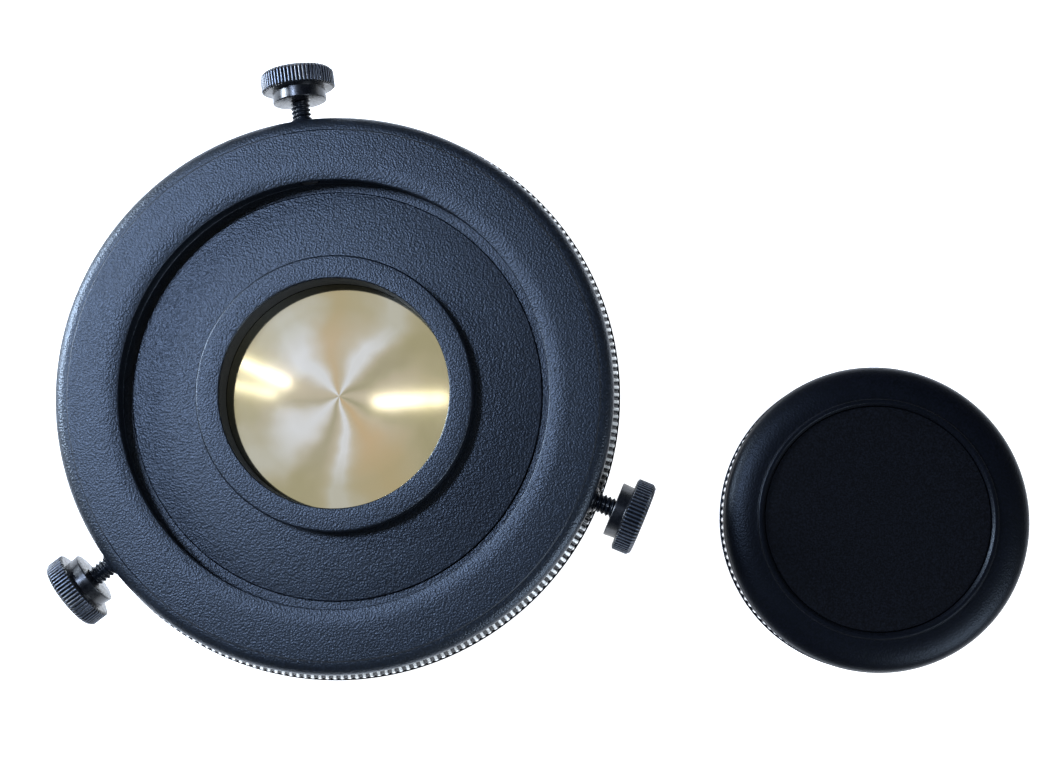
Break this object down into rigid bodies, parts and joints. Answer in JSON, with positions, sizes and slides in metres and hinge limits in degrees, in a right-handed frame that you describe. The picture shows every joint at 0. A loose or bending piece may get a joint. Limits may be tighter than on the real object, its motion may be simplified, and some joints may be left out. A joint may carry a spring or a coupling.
{
  "type": "telescope filter cell",
  "caption": "Round black front filter cell for a telescope, with a knurled clamp ring held by radial thumbscrews, a recessed coated window, and a round dust cap lying beside it.",
  "frame": {"origin": "on the optical axis at the nose's end face, which the cell stands on", "axes": "+Z along the optical axis towards the telescope, +X towards the dust cap's side"},
  "size_m": [0.2403, 0.1508, 0.034],
  "materials": {
    "powder_coat": "black fine-grain powder coat on aluminium",
    "knurled_metal": "black coated straight knurl with worn bright crests",
    "black_anodise": "satin black anodised aluminium",
    "black_screw": "glossy black oxide steel",
    "nylon": "natural nylon",
    "gasket": "matt black rubber",
    "mirror_glass": "polished glass with a pale gold partly mirrored coating",
    "cap_inlay": "matt black inlay",
    "felt": "black felt pad"
  },
  "bodies": {
    "cell": {"clamp_ring": "powder_coat", "knurled_ring": "knurled_metal", "adapter_plate": "powder_coat", "cell_body": "powder_coat", "collar": "powder_coat", "filter_glass": "mirror_glass", "gasket_upper": "gasket", "gasket_lower": "gasket", "retaining_ring": "black_anodise", "screw_bush_1": "black_screw", "screw_bush_2": "black_screw", "screw_bush_3": "black_screw"},
    "tip_1": {"screw_tip_1": "nylon"},
    "screw_1": {"screw_stud_1": "black_screw", "screw_head_1": "black_screw"},
    "tip_2": {"screw_tip_2": "nylon"},
    "screw_2": {"screw_stud_2": "black_screw", "screw_head_2": "black_screw"},
    "tip_3": {"screw_tip_3": "nylon"},
    "screw_3": {"screw_stud_3": "black_screw", "screw_head_3": "black_screw"},
    "cap": {"cap_shell": "powder_coat", "cap_disc": "cap_inlay", "cap_liner": "felt"}
  },
  "joints": [
    {"name": "screw_feed_1", "type": "slide", "parent": "cell", "child": "tip_1", "axis": [0.1305, -0.9914, 0], "range_m": [-0.0064, 0.0032]},
    {"name": "screw_turn_1", "type": "hinge", "parent": "tip_1", "child": "screw_1", "pos_m": [-0.01001, 0.07604, 0.02495], "axis": [0.1305, -0.9914, 0], "range_deg": [-2160, 1080]},
    {"name": "screw_feed_2", "type": "slide", "parent": "cell", "child": "tip_2", "axis": [0.7934, 0.6088, 0], "range_m": [-0.0064, 0.0032]},
    {"name": "screw_turn_2", "type": "hinge", "parent": "tip_2", "child": "screw_2", "pos_m": [-0.06085, -0.04669, 0.02495], "axis": [0.7934, 0.6088, 0], "range_deg": [-2160, 1080]},
    {"name": "screw_feed_3", "type": "slide", "parent": "cell", "child": "tip_3", "axis": [-0.9239, 0.3827, 0], "range_m": [-0.0064, 0.0032]},
    {"name": "screw_turn_3", "type": "hinge", "parent": "tip_3", "child": "screw_3", "pos_m": [0.07086, -0.02935, 0.02495], "axis": [-0.9239, 0.3827, 0], "range_deg": [-2160, 1080]},
    {"name": "cap_lift", "type": "slide", "parent": "cell", "child": "cap", "axis": [0, 0, 1], "range_m": [0, 0.05]}
  ],
  "couplings": [
    {"joint": "screw_feed_1", "follows": "screw_turn_1", "m_per_rad": 0.00016843},
    {"joint": "screw_feed_2", "follows": "screw_turn_2", "m_per_rad": 0.00016843},
    {"joint": "screw_feed_3", "follows": "screw_turn_3", "m_per_rad": 0.00016843}
  ]
}
